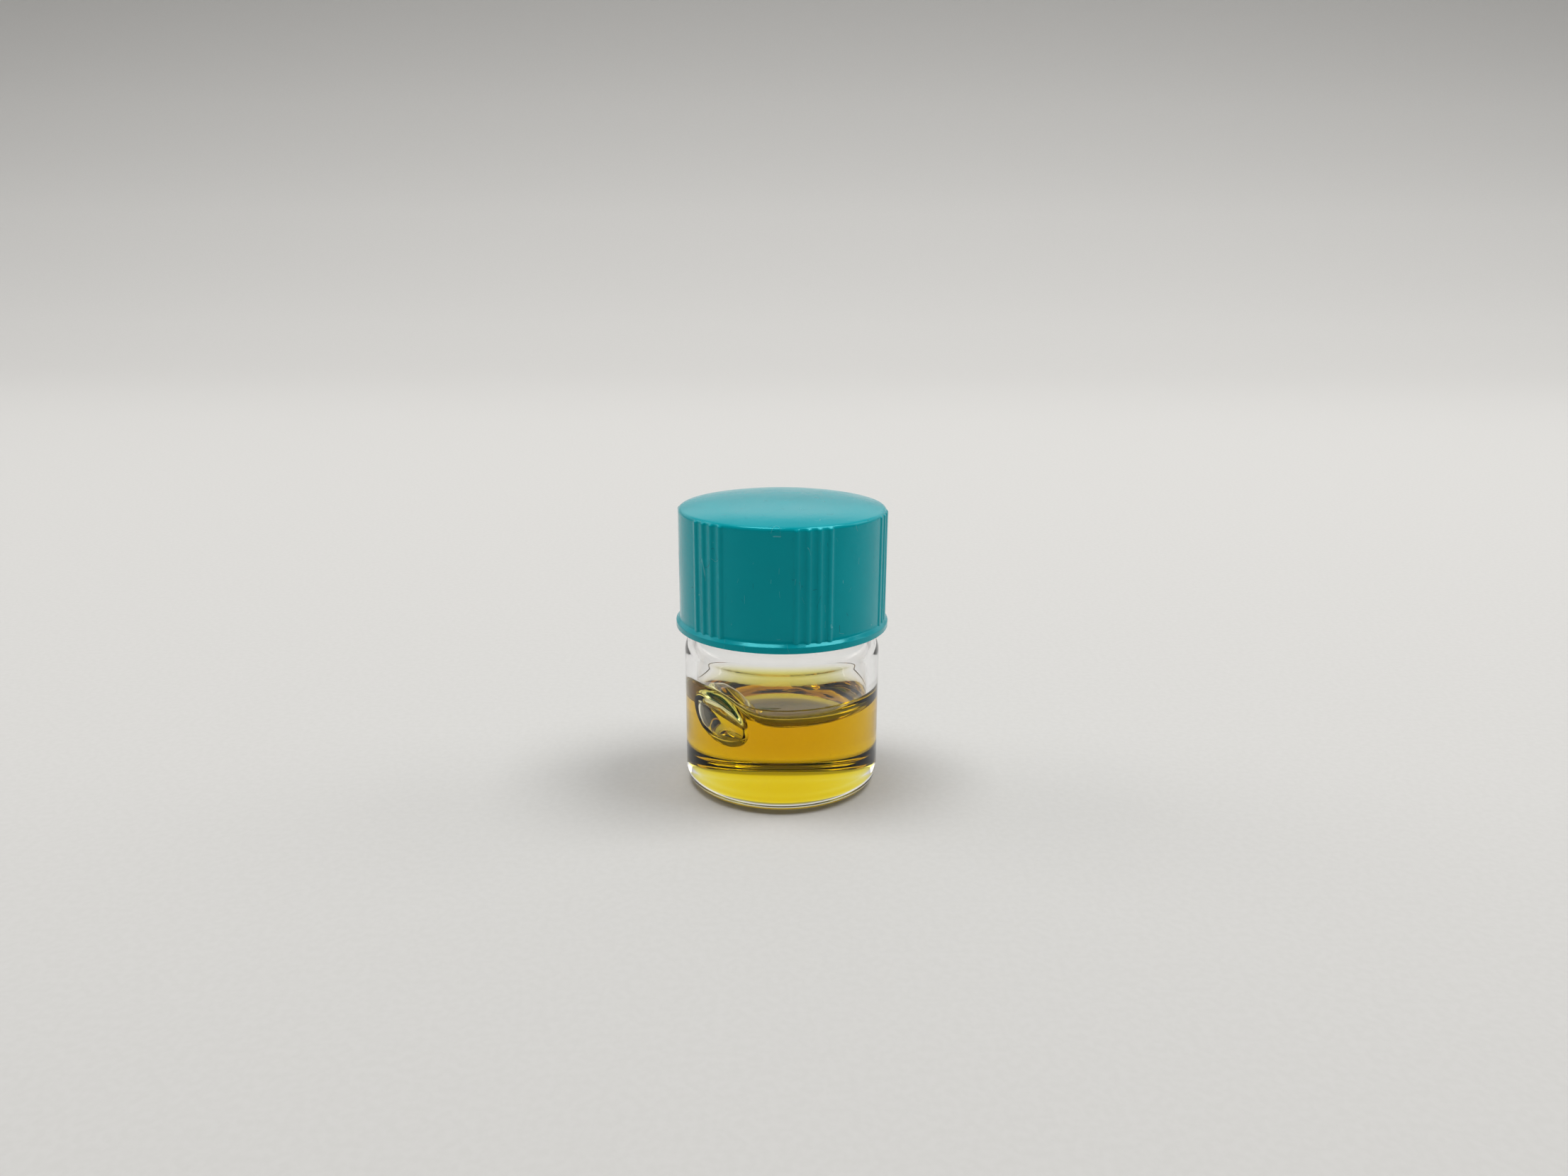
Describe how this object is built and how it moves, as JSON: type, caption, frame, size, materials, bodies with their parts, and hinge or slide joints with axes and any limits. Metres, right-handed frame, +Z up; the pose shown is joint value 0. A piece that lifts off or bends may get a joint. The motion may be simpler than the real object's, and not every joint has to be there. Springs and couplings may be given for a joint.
{
  "type": "screw-cap glass sample vial",
  "caption": "Short clear glass vial with a threaded neck, a ribbed teal screw cap and a lined seal, part filled with a yellow oil sample that holds an air bubble.",
  "frame": {"origin": "on the vial's axis, in the plane that the vial stands on", "axes": "+Z up along the vial's axis, towards the cap; the air bubble is on the -X, -Y side"},
  "size_m": [0.0206, 0.0206, 0.0285],
  "materials": {
    "clear_glass": "clear polished tubing glass",
    "teal_thermoset": "moulded thermoset, glossy",
    "white_facing": "smooth fluoropolymer film",
    "foam_backing": "fine foamed polyethylene",
    "yellow_oil": "clear golden-yellow oil"
  },
  "bodies": {
    "vial": {"glass_vial": "clear_glass", "oil_sample": "yellow_oil"},
    "liner": {"liner_facing": "white_facing", "liner_backing": "foam_backing"},
    "cap": {"screw_cap": "teal_thermoset"}
  },
  "joints": [
    {"name": "cap_rise", "type": "slide", "parent": "vial", "child": "liner", "axis": [0, 0, 1], "range_m": [0, 0.01588]},
    {"name": "cap_turn", "type": "hinge", "parent": "liner", "child": "cap", "pos_m": [0, 0, 0.022], "axis": [0, 0, 1], "range_deg": [0, 1800]}
  ],
  "couplings": [
    {"joint": "cap_rise", "follows": "cap_turn", "m_per_rad": 0.00050532}
  ]
}
